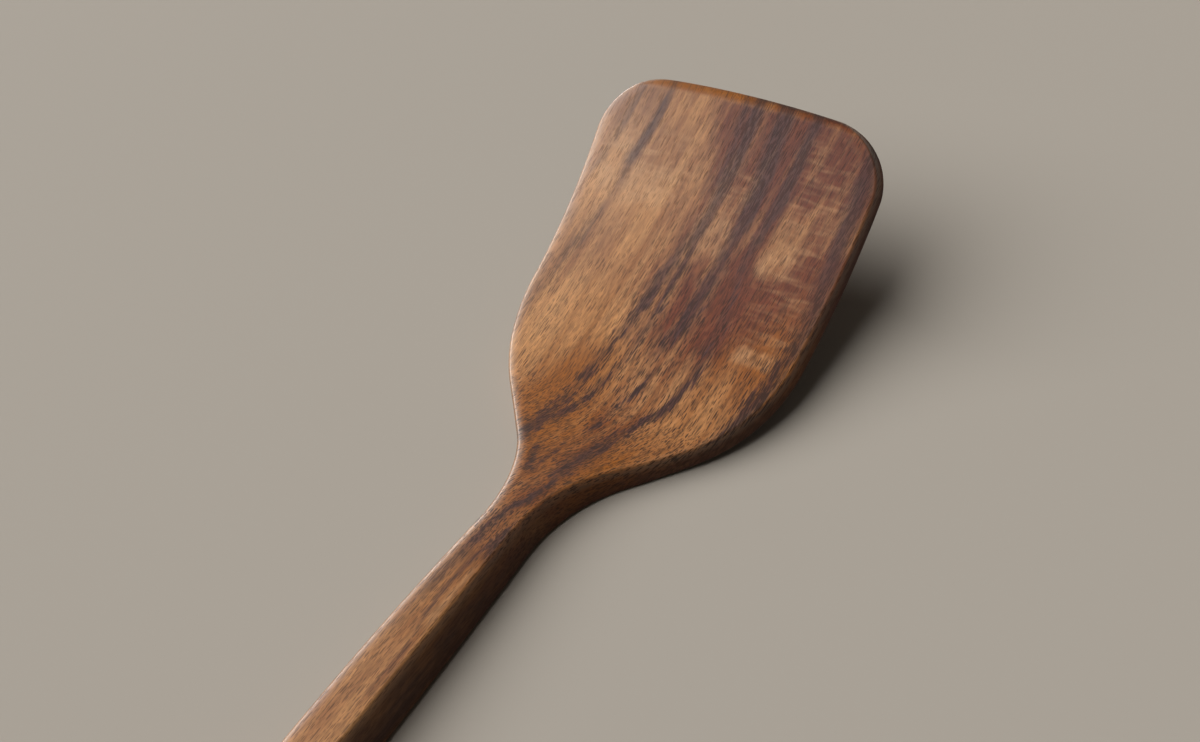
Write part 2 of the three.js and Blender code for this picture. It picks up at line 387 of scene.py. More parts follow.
def lofted_mesh(name, points):
    """A closed mesh through rings of points: four-sided faces between neighbours, and at either end a strip
    that joins one half of the ring to the other."""
    rows, count = points.shape[:2]
    index = np.arange(rows * count).reshape(rows, count)
    after = np.roll(index, -1, axis=1)
    walls = np.stack([index[:-1], after[:-1], after[1:], index[1:]], axis=-1).reshape(-1, 4)
    near = np.arange(count // 2 - 1)
    far = count - 1 - near
    strip = np.stack([near, near + 1, far - 1, far], axis=-1)
    faces = np.concatenate([walls, strip[:, ::-1], strip + (rows - 1) * count])
    mesh = bpy.data.meshes.new(name)
    mesh.from_pydata(points.reshape(-1, 3).tolist(), [], faces.tolist())
    mesh.polygons.foreach_set("use_smooth", np.ones(len(faces), dtype=bool))
    mesh.set_sharp_from_angle(angle=SHARP_ANGLE)
    mesh.validate()
    return mesh


# Figure of the wood, as values at each point of a piece. Places are in millimetres ahead of the neck and
# to the left of the middle, as the face shows them.

# Each dark streak, and last a band of painted shade along the right wall: its course as (along, across), its
# strength along that course, and its half width.
STREAKS_AND_WALL_SHADE = (
    (((22, 14.5), (28, 13), (33, 12), (38, 11), (45, 10.8), (52, 9), (70, 6.5), (85, 4.5), (100, 0),
      (120, -2.5), (138, -4)),
     ((20, 0.0), (25, 0.7), (31, 0.6), (40, 0.5), (50, 0.9), (62, 0.7), (78, 1.0), (97, 0.9), (108, 1.1),
      (138, 1.2)), 2.0),
    (((20, 15), (25, 13.5), (33, 12), (40, 10.5), (50, 9)),
     ((19, 0.0), (24, 0.9), (34, 0.85), (42, 0.7), (52, 0.0)), 3.0),
    (((31, 10.5), (36, 8), (40, 7), (43, 5.2), (47, 4.5), (52, 3), (56, 2), (75, 0.8), (100, 0)),
     ((30, 0.2), (36, 0.9), (44, 0.9), (52, 0.7), (60, 0.6), (85, 0.9), (102, 0.7)), 1.4),
    (((14, 4.2), (18, 5), (23, 6.8), (27, 8)),
     ((13, 0.0), (17, 0.8), (22, 0.9), (28, 0.0)), 1.3),
    (((14, 4), (20, 2.6), (26, 1.6), (33, 1)),
     ((13, 0.1), (19, 0.8), (25, 0.6), (33, 0.0)), 0.9),
    (((45, -1), (58, -3.5), (72, -8), (90, -9), (105, -11), (138, -12)),
     ((45, 0.0), (60, 0.5), (72, 1.0), (88, 0.8), (97, 0.6), (106, 1.2), (138, 1.2)), 2.6),
    (((33, -1.5), (36, -2), (40, -2.6), (46, -4.5), (52, -6.5), (64, -7.4)),
     ((32, 0.1), (36, 1.0), (40, 0.5), (47, 0.7), (55, 0.8), (66, 0.0)), 1.3),
    (((-40, 2.2), (-25, 2.4), (-8, 1.6), (0, 0.9), (4, 0), (8, -2.5), (14, -4), (20, -4), (26, -5.5),
      (33, -8), (38, -9.8), (42, -12), (46, -14.5), (49, -16.2), (65, -18), (80, -17.2), (95, -15.5),
      (115, -18.5), (138, -21)),
     ((-60, 0.2), (-40, 0.4), (-22, 0.8), (2, 0.9), (8, 1.0), (14, 0.6), (25, 0.6), (36, 0.7), (48, 1.1),
      (64, 0.8), (78, 0.5), (95, 0.6), (112, 1.2), (138, 1.1)), 1.8),
    (((14, -4), (22, -4), (30, -7), (38, -10)),
     ((12, 0.2), (20, 0.8), (32, 0.9), (42, 0.1)), 3.2),
    (((-14, -4.5), (-6, -3.6), (0, -4.5)),
     ((-14, 0.0), (-8, 1.2), (-3, 1.2), (2, 0.0)), 1.5),
    (((-60, -3), (-38, -3.4), (-30, -1.6), (-20, -1), (-12, -1.5), (-5, -3)),
     ((-70, 0.3), (-45, 0.5), (-30, 0.7), (-20, 0.8), (-8, 0.8), (-4, 0.2)), 0.8),
    (((55, 37.5), (78, 35), (95, 31), (112, 28.3), (125, 25), (138, 22)),
     ((55, 0.3), (88, 0.65), (104, 0.4), (115, 0.9), (130, 0.8), (138, 0.5)), 2.0),
    (((104, 38.5), (112, 36.5), (125, 33.5), (138, 31)),
     ((104, 0.2), (113, 0.6), (130, 0.7), (138, 0.5)), 1.7),
    (((40, -30), (52, -34.5), (62, -36.5), (85, -39), (110, -37.5), (138, -38)),
     ((40, 0.5), (58, 1.1), (76, 0.9), (96, 0.9), (116, 1.0), (138, 0.9)), 2.6),
    (((50, 17), (70, 13), (90, 11.5), (112, 10)),
     ((50, 0.0), (66, 0.3), (90, 0.4), (112, 0.0)), 0.9),
    (((45, 31), (60, 28.5), (75, 27), (90, 25)),
     ((45, 0.0), (58, 0.4), (72, 0.3), (90, 0.0)), 0.9),
    # Painted shade, not a streak: a dark band along the right wall, which faces away from the light.
    (((-200, -12), (0, -12), (20, -17), (45, -35), (70, -46), (138, -48)),
     ((-200, 0.8), (138, 0.9)), 4.5),
)

# Each lit patch of figure, and last a painted highlight line on the handle: its middle (along, across), its
# half length and half width, and its strength.
PATCHES_AND_HIGHLIGHT = (
    ((98.5, -4.5), (6.5, 3.6), 0.7),
    ((96, -23.5), (4.2, 5.5), 0.6),
    ((70, -29.5), (2.8, 6.5), 0.65),
    ((107, 20), (7, 8), 0.8),
    ((107, 34), (4, 3), 0.8),
    ((117, 33), (2.5, 5), 0.6),
    # Painted highlight: a golden line along the handle's right crease, where its edge catches the light.
    ((-24, -3.6), (9, 0.9), 0.8),
)

# Where the figure curls across the grain, given as the patches are.
CURLS = (
    ((108, -28), (25, 7), 0.7),
    ((112, 24), (10, 14), 1.0),
    ((84, -30), (12, 8), 0.5),
    ((108, -5), (10, 5), 0.6),
)

# Patches and curls fade from the first to the second of these shares of their half sizes.
PATCH_FADE = (0.5, 1.5)

# Tone of the wood about a few places (along, across): how brown it is, from 0, pale, and how orange.
TONES = (
    ((45, 27), 0.1, 0.2),
    ((62, 20), 0.1, 0.3),
    ((62, 33), 0.2, 0.0),
    ((88, 33), 0.3, 0.0),
    ((88, 16), 0.3, 0.1),
    ((115, 14), 0.45, 0.1),
    ((122, 30), 0.55, 0.0),
    ((117, 23), 0.6, 0.0),
    ((106, 22), 0.05, 0.2),
    ((106, 34), 0.05, 0.2),
    ((96, 28), 0.4, 0.0),
    ((85, 2), 0.6, 0.0),
    ((125, -3), 0.75, 0.0),
    ((82, -10), 0.95, 0.0),
    ((122, -12), 0.85, 0.0),
    ((55, -9), 0.55, 0.1),
    ((98, -5), 0.6, 0.0),
    ((97, -23), 0.5, 0.1),
    ((82, -29), 1.5, 0.1),
    ((84, -20), 1.3, 0.0),
    ((122, -30), 0.85, 0.0),
    ((115, -18), 0.95, 0.0),
    ((58, -28), 0.3, 0.3),
    ((69, -31), 1.0, 1.0),
    ((43, 15), 0.3, 0.9),
    ((30, 17), 0.3, 0.8),
    ((27, 9), 0.45, 0.9),
    ((36, 4), 0.3, 0.6),
    ((24, 3), 0.5, 0.7),
    ((30, -5), 0.5, 0.3),
    ((28, -11), 0.4, 1.0),
    ((46, -9), 0.4, 0.2),
    ((40, -17), 0.15, 0.4),
    ((44, -24), 0.1, 0.4),
    ((10, 3), 0.5, 0.3),
    ((10, -2), 0.7, 0.4),
    ((-5, 0), 0.5, 0.1),
    ((-12, -3.5), 0.5, 0.4),
    ((-25, 0), 0.4, 0.0),
    ((-25, -3.5), 0.15, 0.5),
    ((-50, 0), 0.35, 0.0),
    ((-100, 0), 0.4, 0.0),
)

# How far a tone reaches from its place, along and across.
TONE_REACH = (11, 6)

# Run of the grain: how far it swings to the left at the neck and where that has ended, from where it bends to
# the right and how strongly, and the stretch in which it dives.
GRAIN_SWING, SWING_END = 15, 48
BEND_START, BEND_CURVE = 50, 0.0013
DIVE_START, DIVE_END = -10, 45

# How far the layers lean across for each millimetre down from the face.
LAYER_LEAN = 0.6

# Brown wood beside the streaks of the root: how much wider it is than they are, and how much browner.
SHOULDER_SPREAD, SHOULDER_BROWN = 2.2, 0.5

# The stretches below are (from, to): none of what they bring at the first place and all of it at the second.

# The root of the blade, where it begins and where it has ended.
ROOT_BEGINS, ROOT_ENDS = (4, 14), (55, 35)

# Golden band of end grain: behind the front and across it, how much less brown it is and how orange.
GOLD_BEHIND_FRONT, GOLD_ACROSS = (3.6, 2.0), (-32, 12)
GOLD_LESS_BROWN, GOLD_ORANGE = 0.4, 0.9

# Where the pores are closed, and by how much: towards the front, on the tan left side, on the handle and down
# the walls. In the root they are more open.
FRONT_ALONG, FRONT_CLOSED = (60, 105), 0.45
TAN_ALONG, TAN_ACROSS, TAN_CLOSED = (25, 50), (6, 16), 0.4
HANDLE_ALONG, HANDLE_CLOSED = (0, -20), 0.45
WALL_DEPTH, WALL_CLOSED = (1.0, 3.0), 0.5
ROOT_OPEN = 0.4

# Depth below the face at which the walls turn matt.
MATT_DEPTH = (1.2, 3.0)

# Painted shade on the right wall, which faces away from the light: how far down, and how far right of the
# middle.
PAINTED_WALL_SHADE_DEPTH, PAINTED_WALL_SHADE_ACROSS = (0.4, 1.2), (-2, -4)

# Pale upper edges, partly where use has rubbed the oil off and partly a painted highlight, strongest on the
# left edge, where the light falls: how far in they reach, how far down, and the share of it on the right. On
# the left side of the face a painted sheen spreads in from the edge, weakly.
WEAR_AND_SHEEN_IN, WEAR_AND_SHEEN_DEPTH, WEAR_AND_SHEEN_RIGHT = (3.2, 0.6), (3.5, 1.5), 0.3
PAINTED_SHEEN_ACROSS, PAINTED_SHEEN_ALONG, PAINTED_SHEEN = (14, 34), (40, 70), 0.22

# Names under which the figure is kept on the mesh, beside the place in the grain, with the painted shade on
# the right wall and the painted highlight and sheen of the upper edges.
FIGURE = ("streak", "patch_and_highlight", "curl", "brown", "orange", "open", "matt", "painted_wall_shade", "wear_and_sheen")


def streak_and_shade_strength(along, across, spread=1.0):
    """How dark the streaks and the band of painted shade along the right wall are: for each one a bell across
    its course, as high as its strength there. The spread widens the bells."""
    strength = np.zeros_like(along)
    for course, heights, half_width in STREAKS_AND_WALL_SHADE:
        middle = np.interp(along, *zip(*course))
        bell = np.exp(-(((across - middle) / (spread * half_width)) ** 2))
        strength = np.maximum(strength, bell * np.interp(along, *zip(*heights)))
    return strength


def patch_strength(along, across, patches):
    """How much patches of figure show: for each a soft oblong that is full in its middle."""
    strength = np.zeros_like(along)
    full, gone = PATCH_FADE
    for (middle_along, middle_across), (half_length, half_width), height in patches:
        lengthwise = eased(np.abs(along - middle_along), gone * half_length, full * half_length)
        sideways = eased(np.abs(across - middle_across), gone * half_width, full * half_width)
        strength = np.maximum(strength, height * lengthwise * sideways)
    return strength


def tones(along, across):
    """Brown and orange shares: the values of the places in TONES, weighted by bells about them."""
    reach_along, reach_across = TONE_REACH
    total, brown, orange = (np.zeros_like(along) for _ in range(3))
    for (middle_along, middle_across), brown_there, orange_there in TONES:
        far = ((along - middle_along) / reach_along) ** 2 + ((across - middle_across) / reach_across) ** 2
        weight = np.exp(-far)
        total += weight
        brown += weight * brown_there
        orange += weight * orange_there
    return brown / total, orange / total


def open_pores(along, across, depth, in_root):
    """How open the pores are: all open, less what each closed stretch takes, and more in the root."""
    on_tan_side = eased(along, *TAN_ALONG) * eased(across, *TAN_ACROSS)
    opened = 1 + ROOT_OPEN * in_root
    opened = opened * (1 - FRONT_CLOSED * eased(along, *FRONT_ALONG))
    opened = opened * (1 - TAN_CLOSED * on_tan_side)
    opened = opened * (1 - HANDLE_CLOSED * eased(along, *HANDLE_ALONG))
    return opened * (1 - WALL_CLOSED * eased(depth, *WALL_DEPTH))


def wear_and_painted_sheen(along, left, depth, off_edge):
    """How pale the surface is made, partly where use has rubbed the oil off and partly a painted highlight
    and
    sheen: the most along the left edge, where the light falls, less along the right one, a little on the left
    side of the face, and none down the walls."""
    edges = eased(off_edge, *WEAR_AND_SHEEN_IN) * np.where(left > 0, 1.0, WEAR_AND_SHEEN_RIGHT)
    face = PAINTED_SHEEN * eased(left, *PAINTED_SHEEN_ACROSS) * eased(along, *PAINTED_SHEEN_ALONG)
    return np.maximum(edges, face) * eased(depth, *WEAR_AND_SHEEN_DEPTH)


def wood_attributes(mesh, s, side, above, handle, blade):
    """Writes the figure on the mesh: the place in the grain, streaks with a band of painted shade along the
    right wall, patches with a painted highlight line on the handle, curl, tone, how open the pores are, where
    the wood is matt, the painted shade on the right wall, and the paler edges, partly rubbed and partly a
    painted highlight and sheen. The layers lean, so that the sides and the back show other parts of them than
    the face does. The grain swings to the left towards the neck, bends to the right on a parabola towards the
    front, and dives in the root, which shortens what it shows there."""
    along, left = s / MM, side / MM
    depth = (thickness(s, handle, blade) - above) / MM
    off_edge = (blade_half_width(s, handle, blade) - np.abs(side)) / MM
    across = left - LAYER_LEAN * depth
    swing = GRAIN_SWING * (1 - eased(along, 0, SWING_END))
    bend = BEND_CURVE * np.maximum(0, along - BEND_START) ** 2
    dive = np.clip(along, DIVE_START, DIVE_END) - DIVE_END
    grain = np.stack([along + dive, across - swing + bend, depth], axis=-1) * MM

    brown, orange = tones(along, across)
    shoulders = streak_and_shade_strength(along, across, SHOULDER_SPREAD)
    in_root = eased(along, *ROOT_BEGINS) * eased(along, *ROOT_ENDS)
    golden = eased(blade.blade_length / MM - along, *GOLD_BEHIND_FRONT) * eased(across, *GOLD_ACROSS)
    values = {
        # Dark streaks, with the band of painted shade along the right wall.
        "streak": streak_and_shade_strength(along, across),
        # Patches of figure, with the painted highlight line along the handle.
        "patch_and_highlight": patch_strength(along, across, PATCHES_AND_HIGHLIGHT),
        "curl": patch_strength(along, across, CURLS),
        "brown": brown * (1 - GOLD_LESS_BROWN * golden) + SHOULDER_BROWN * shoulders * in_root,
        "orange": np.maximum(orange, GOLD_ORANGE * golden),
        "open": open_pores(along, across, depth, in_root),
        "matt": eased(depth, *MATT_DEPTH),
        # Painted shade on the right wall.
        "painted_wall_shade": eased(depth, *PAINTED_WALL_SHADE_DEPTH) * eased(left, *PAINTED_WALL_SHADE_ACROSS),
        # Paler edges and face: partly rubbed, partly a painted highlight and sheen.
        "wear_and_sheen": wear_and_painted_sheen(along, left, depth, off_edge),
    }
    mesh.attributes.new("grain", "FLOAT_VECTOR", "POINT").data.foreach_set("vector", grain.ravel())
    for name in FIGURE:
        mesh.attributes.new(name, "FLOAT", "POINT").data.foreach_set("value", values[name].ravel())


# Materials

# Sockets of a Mix node that mixes colours: its share, the colour under, the colour over it, and the result.
MIX_SHARE, MIX_UNDER, MIX_OVER, MIX_RESULT = 0, 6, 7, 2

# Layers of the wood: the weights of the patterns that fray each one, the sums between which it comes in, and
# how much of it shows at most where that is not all.
BROWN_LINES, BROWN_CLOUDS, BROWN_SPAN = 1.1, 1.1, (1.1, 2.0)
ORANGE_LINES, ORANGE_SPAN = 0.8, (0.45, 1.25)
PATCH_STRANDS, PATCH_SPOTS, PATCH_SPAN, PATCH_MOST = 0.6, 1.6, (1.2, 2.2), 0.56
RIPPLE_SPAN, RIPPLE_MOST = (0.4, 0.9), 0.7
STREAK_LINES, STREAK_SPOTS, STREAK_SPAN, STREAK_MOST = 0.7, 1.0, (0.95, 1.85), 0.95
STRANDS_IN_STREAK, BROKEN_SPAN = 2.6, (1.75, 2.25)

# What is left of a soft streak where the pores are open.
SOFT_WHERE_OPEN = 0.55

# Octaves of the noise, fewer in the soft ripples, how rough it is, and the value that it lies about.
NOISE_DETAIL, RIPPLE_DETAIL, NOISE_ROUGHNESS, NOISE_MIDDLE = 2.0, 1.0, 0.6, 0.5

# A dash's reach grows by chance, and its edge is as soft as this, both as shares of its cell.
DASH_CHANCE, DASH_EDGE = 0.5, 0.1

# Crowding of the pores: how far it follows the strands, from which level, and how far the streaks.
CROWD_STRANDS, CROWD_LEVEL = 0.6, -0.38
LONG_ON_STREAKS, SHORT_ON_STREAKS, SHORT_RARER = 0.1, 0.3, 0.05

# Short pores as shares of the long ones, and how much pores show where the grain is closed.
SHORT_LENGTH, SHORT_WIDTH, CLOSED_SHOWN = 0.6, 0.65, 0.2

# Light and dark of the fine grain: the sums between which it changes, and its darkest and lightest shade.
SHADE_SPAN, SHADE_DARKEST, SHADE_LIGHTEST = (-0.7, 0.3), 0.35, 1.35

# How far the right wall is darkened with painted shade, the upper edges are paled, partly rubbed and partly
# a painted highlight, and pores are darkened.
PAINTED_WALL_SHADE_DARKENED, WEAR_AND_SHEEN_PALED, PORE_DARKENED = 0.52, 0.35, 0.85

# Relief of the fibres beside that of the pores, strength and height of both, and the pores' extra roughness.
FIBRE_RELIEF, RELIEF_STRENGTH, RELIEF_HEIGHT, PORE_ROUGHENED = 0.4, 0.15, 0.1 * MM, 0.2


def linear(hex_colour):
    """An sRGB hex value as linear red, green, blue and alpha."""
    parts = [int(hex_colour[start : start + 2], 16) / 255 for start in (1, 3, 5)]
    return (*[p / 12.92 if p <= 0.04045 else ((p + 0.055) / 1.055) ** 2.4 for p in parts], 1.0)


def add_node(tree, kind, inputs=None, output=0, **settings):
    """Adds a node with its settings, fills its inputs with values or links, and gives one of its outputs."""
    node = tree.nodes.new(kind)
    for name, value in settings.items():
        setattr(node, name, value)
    for socket, value in (inputs or {}).items():
        if isinstance(value, bpy.types.NodeSocket):
            tree.links.new(value, node.inputs[socket])
        else:
            node.inputs[socket].default_value = value
    return node.outputs[output] if node.outputs else None


def new_material(name):
    """An empty node material and its tree."""
    material = bpy.data.materials.new(name)
    material.use_nodes = True
    material.node_tree.nodes.clear()
    return material, material.node_tree


def drawn_out_noise(tree, grain, along, across, detail=NOISE_DETAIL):
    """Noise drawn out along the grain, with its spacing along and across it as real lengths."""
    stretch = {"Vector": grain, "Scale": (1 / along, 1 / across, 1 / across)}
    place = add_node(tree, "ShaderNodeMapping", stretch)
    spread = {"Vector": place, "Scale": 1.0, "Detail": detail, "Roughness": NOISE_ROUGHNESS}
    return add_node(tree, "ShaderNodeTexNoise", spread)


def coming_in(tree, strength, patterns, span, most=1.0, step="SMOOTHSTEP"):
    """Share by which a layer shows: its strength at each point plus the patterns by their weights, which
    brings it in from nothing at the low end of the span to the most at the high end."""
    for pattern, weight in patterns:
        total = {0: pattern, 1: weight, 2: strength}
        strength = add_node(tree, "ShaderNodeMath", total, operation="MULTIPLY_ADD")
    low, high = span
    spread = {"Value": strength, "From Min": low, "From Max": high, "To Max": most}
    return add_node(tree, "ShaderNodeMapRange", spread, interpolation_type=step)


def streak_and_shade_share(tree, figure, lines, spots, strands):
    """How much the dark streaks, with the band of painted shade on the right wall, show: soft where the grain
    is closed, and broken into strands where it is open."""
    frayed = ((lines, STREAK_LINES), (spots, STREAK_SPOTS))
    soft = coming_in(tree, figure["streak"], frayed, STREAK_SPAN, STREAK_MOST)
    whole = {"Value": figure["open"], "To Min": 1.0, "To Max": SOFT_WHERE_OPEN}
    whole = add_node(tree, "ShaderNodeMapRange", whole)
    soft = add_node(tree, "ShaderNodeMath", {0: soft, 1: whole}, operation="MULTIPLY")
    broken = coming_in(tree, figure["streak"], ((strands, STRANDS_IN_STREAK),), BROKEN_SPAN)
    broken = add_node(tree, "ShaderNodeMath", {0: broken, 1: figure["open"]}, operation="MULTIPLY")
    return add_node(tree, "ShaderNodeMath", {0: soft, 1: broken}, operation="MAXIMUM")


def layered_wood(tree, look, grain, figure, strands):
    """Colour of the wood without its fine grain. Tan turns to reddish brown along soft growth lines, and to
    orange where the oil has sunk in. Patches of figure, with a painted highlight line on the handle, lie on
    that, frayed by the strands, then cross ripples, then the streaks, which are browner in the orange wood,
    with the band of painted shade on the right wall."""
    lines = drawn_out_noise(tree, grain, look.growth_length, look.growth_width)
    clouds = drawn_out_noise(tree, grain, look.cloud_length, look.cloud_width)
    spots = drawn_out_noise(tree, grain, look.spot_length, look.spot_width)
    ripple = drawn_out_noise(tree, grain, look.ripple_length, look.ripple_width, RIPPLE_DETAIL)

    frayed = ((lines, BROWN_LINES), (clouds, BROWN_CLOUDS))
    brown = coming_in(tree, figure["brown"], frayed, BROWN_SPAN, step="LINEAR")
    orange = coming_in(tree, figure["orange"], ((lines, ORANGE_LINES),), ORANGE_SPAN, step="LINEAR")
    frayed = ((strands, PATCH_STRANDS), (spots, PATCH_SPOTS))
    patch_and_highlight = coming_in(tree, figure["patch_and_highlight"], frayed, PATCH_SPAN, PATCH_MOST)
    bright = coming_in(tree, ripple, (), RIPPLE_SPAN, RIPPLE_MOST)
    bright = add_node(tree, "ShaderNodeMath", {0: bright, 1: figure["curl"]}, operation="MULTIPLY")
    dark = streak_and_shade_share(tree, figure, lines, spots, strands)
    streak = {MIX_SHARE: figure["orange"], MIX_UNDER: linear(look.streak), MIX_OVER: linear(look.root_streak)}
    streak = add_node(tree, "ShaderNodeMix", streak, MIX_RESULT, data_type="RGBA")

    layers = (
        (brown, linear(look.brown)),
        (orange, linear(look.orange)),
        (patch_and_highlight, linear(look.honey_and_highlight)),
        (bright, linear(look.honey_and_highlight)),
        (dark, streak),
    )
    wood = linear(look.pale)
    for shown, over in layers:
        laid = {MIX_SHARE: shown, MIX_UNDER: wood, MIX_OVER: over}
        wood = add_node(tree, "ShaderNodeMix", laid, MIX_RESULT, data_type="RGBA")
    return wood


def pore_dashes(tree, grain, along, across, crowd):
    """Separate dashes along the grain, at most one to a cell of the given length and width. A dash is as long
    as its cell's chance and the crowding allow, and where that is next to nothing there is none."""
    place = add_node(tree, "ShaderNodeMapping", {"Vector": grain, "Scale": (1 / along, 1 / across, 1.0)})
    cells = {"Vector": place, "Scale": 1.0}
    distance = add_node(tree, "ShaderNodeTexVoronoi", cells, "Distance", voronoi_dimensions="2D")
    chance = distance.node.outputs["Color"]
    reach = {0: chance, 1: DASH_CHANCE, 2: crowd}
    reach = add_node(tree, "ShaderNodeMath", reach, operation="MULTIPLY_ADD")
    inside = add_node(tree, "ShaderNodeMath", {0: reach, 1: distance}, operation="SUBTRACT")
    return coming_in(tree, inside, (), (0.0, DASH_EDGE))


def pore_flecks(tree, look, grain, figure, strands):
    """Where pores show: long dashes everywhere, rare on some strands, and short ones crowded along the
    streaks. Real pores are half as wide, which is too fine to show."""
    crowd = {0: strands, 1: CROWD_STRANDS, 2: CROWD_LEVEL}
    crowd = add_node(tree, "ShaderNodeMath", crowd, operation="MULTIPLY_ADD")
    long = {0: figure["streak"], 1: LONG_ON_STREAKS, 2: crowd}
    long = add_node(tree, "ShaderNodeMath", long, operation="MULTIPLY_ADD")
    long = pore_dashes(tree, grain, look.pore_length, look.pore_width, long)
    short = {0: figure["streak"], 1: SHORT_ON_STREAKS, 2: crowd}
    short = add_node(tree, "ShaderNodeMath", short, operation="MULTIPLY_ADD")
    short = add_node(tree, "ShaderNodeMath", {0: short, 1: SHORT_RARER}, operation="SUBTRACT")
    short = pore_dashes(tree, grain, SHORT_LENGTH * look.pore_length, SHORT_WIDTH * look.pore_width, short)
    flecks = add_node(tree, "ShaderNodeMath", {0: long, 1: short}, operation="MAXIMUM")
    shown = {"Value": figure["open"], "To Min": CLOSED_SHOWN, "To Max": 1.0}
    shown = add_node(tree, "ShaderNodeMapRange", shown)
    return add_node(tree, "ShaderNodeMath", {0: flecks, 1: shown}, operation="MULTIPLY")


def finished_wood(tree, look, figure, wood, speckle, strands, pores):
    """Colour of the wood with all that lies on it: light and dark of the fibres and strands, painted shade on
    the right wall, paler upper edges, partly rubbed and partly a painted highlight and sheen, and the dark of
    the pores."""
    middle = NOISE_MIDDLE * (look.fibre_contrast + look.strand_contrast)
    shade = {0: speckle, 1: look.fibre_contrast, 2: -middle}
    shade = add_node(tree, "ShaderNodeMath", shade, operation="MULTIPLY_ADD")
    shade = {0: strands, 1: look.strand_contrast, 2: shade}
    shade = add_node(tree, "ShaderNodeMath", shade, operation="MULTIPLY_ADD")
    shade = add_node(tree, "ShaderNodeMath", {0: shade, 1: figure["open"]}, operation="MULTIPLY")
    shade = {
        "Value": shade,
        "From Min": SHADE_SPAN[0],
        "From Max": SHADE_SPAN[1],
        "To Min": SHADE_DARKEST,
        "To Max": SHADE_LIGHTEST,
    }
    shade = add_node(tree, "ShaderNodeMapRange", shade)
    wood = {MIX_SHARE: 1.0, MIX_UNDER: wood, MIX_OVER: shade}
    wood = add_node(tree, "ShaderNodeMix", wood, MIX_RESULT, data_type="RGBA", blend_type="MULTIPLY")

    # Painted shade: the right wall darkened towards the colour of the dark streaks.
    painted_wall_shade = {MIX_SHARE: PAINTED_WALL_SHADE_DARKENED, MIX_UNDER: wood, MIX_OVER: linear(look.streak)}
    painted_wall_shade = add_node(tree, "ShaderNodeMix", painted_wall_shade, MIX_RESULT, data_type="RGBA", blend_type="MULTIPLY")
    # Painted highlight and sheen, partly rubbed-off oil: the upper edges and the left of the face turn paler.
    wear_and_sheen = add_node(tree, "ShaderNodeMath", {0: figure["wear_and_sheen"], 1: WEAR_AND_SHEEN_PALED}, operation="MULTIPLY")
    depth = add_node(tree, "ShaderNodeMath", {0: pores, 1: PORE_DARKENED}, operation="MULTIPLY")
    for shown, over in ((figure["painted_wall_shade"], painted_wall_shade), (wear_and_sheen, linear(look.wear_and_sheen)), (depth, linear(look.pore))):
        laid = {MIX_SHARE: shown, MIX_UNDER: wood, MIX_OVER: over}
        wood = add_node(tree, "ShaderNodeMix", laid, MIX_RESULT, data_type="RGBA")
    return wood


def oiled_acacia(look):
    """Acacia heartwood, sanded and rubbed with oil. Tan and reddish layers run along the piece with dark
    streaks between them, a short interlocked grain speckles it, open pores fleck it along the grain, and the
    oil gives a soft satin sheen: glossier on the edges that use has burnished, duller on the walls. Real
    fibres are far finer than the speckle, which is as coarse as it needs to be to show."""
    material, tree = new_material("oiled_acacia")
    grain = add_node(tree, "ShaderNodeAttribute", None, "Vector", attribute_name="grain")
    figure = {}
    for name in FIGURE:
        figure[name] = add_node(tree, "ShaderNodeAttribute", None, "Fac", attribute_name=name)
    strands = drawn_out_noise(tree, grain, look.strand_length, look.strand_width)
    speckle = drawn_out_noise(tree, grain, look.fibre_length, look.fibre_width)
    wood = layered_wood(tree, look, grain, figure, strands)
    pores = pore_flecks(tree, look, grain, figure, strands)
    wood = finished_wood(tree, look, figure, wood, speckle, strands, pores)

    relief = add_node(tree, "ShaderNodeMath", {0: speckle, 1: FIBRE_RELIEF}, operation="MULTIPLY")
    relief = add_node(tree, "ShaderNodeMath", {0: relief, 1: pores}, operation="SUBTRACT")
    normal = {"Height": relief, "Strength": RELIEF_STRENGTH, "Distance": RELIEF_HEIGHT}
    normal = add_node(tree, "ShaderNodeBump", normal)
    rough = {"Value": figure["matt"], "To Min": look.roughness, "To Max": look.wall_roughness}
    rough = add_node(tree, "ShaderNodeMapRange", rough)
    rough = {"Value": figure["wear_and_sheen"], "To Min": rough, "To Max": look.edge_roughness}
    rough = add_node(tree, "ShaderNodeMapRange", rough)
    rough = {0: pores, 1: PORE_ROUGHENED, 2: rough}
    rough = add_node(tree, "ShaderNodeMath", rough, operation="MULTIPLY_ADD")
    surface = {"Base Color": wood, "Roughness": rough, "IOR": 1.4, "Normal": normal}
    shader = add_node(tree, "ShaderNodeBsdfPrincipled", surface)
    add_node(tree, "ShaderNodeOutputMaterial", {"Surface": shader})
    return material


def matt_floor(look):
    """Matt painted board: one pale colour with next to no gloss."""
    material, tree = new_material("matt_painted_board")
    surface = {"Base Color": linear(look.floor), "Roughness": 0.9, "Specular IOR Level": 0.1}
    shader = add_node(tree, "ShaderNodeBsdfPrincipled", surface)
    add_node(tree, "ShaderNodeOutputMaterial", {"Surface": shader})
    return material


def wooden_piece(context, name, node, rings):
    """Makes a wooden piece of its rings and sets it in the place of a CAD node."""
    scene = context.scene
    s, side, above = rings
    mesh = lofted_mesh(name, placed(s, side, above, scene.spatula_blade))
    wood_attributes(mesh, s, side, above, scene.spatula_handle, scene.spatula_blade)
    mesh.materials.append(bpy.data.materials.get("oiled_acacia") or oiled_acacia(scene.spatula_wood))
    piece = bpy.data.objects.new(name, mesh)
    scene.collection.objects.link(piece)
    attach(piece, BODY)
    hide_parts(node)


# Stage

# A floor wide enough to fill the picture, in metres, and as many sides as make it round.
FLOOR_RADIUS, FLOOR_SIDES = 4.0, 96

# Width of the camera's sensor in millimetres, as its lens is.
SENSOR_WIDTH = 36.0

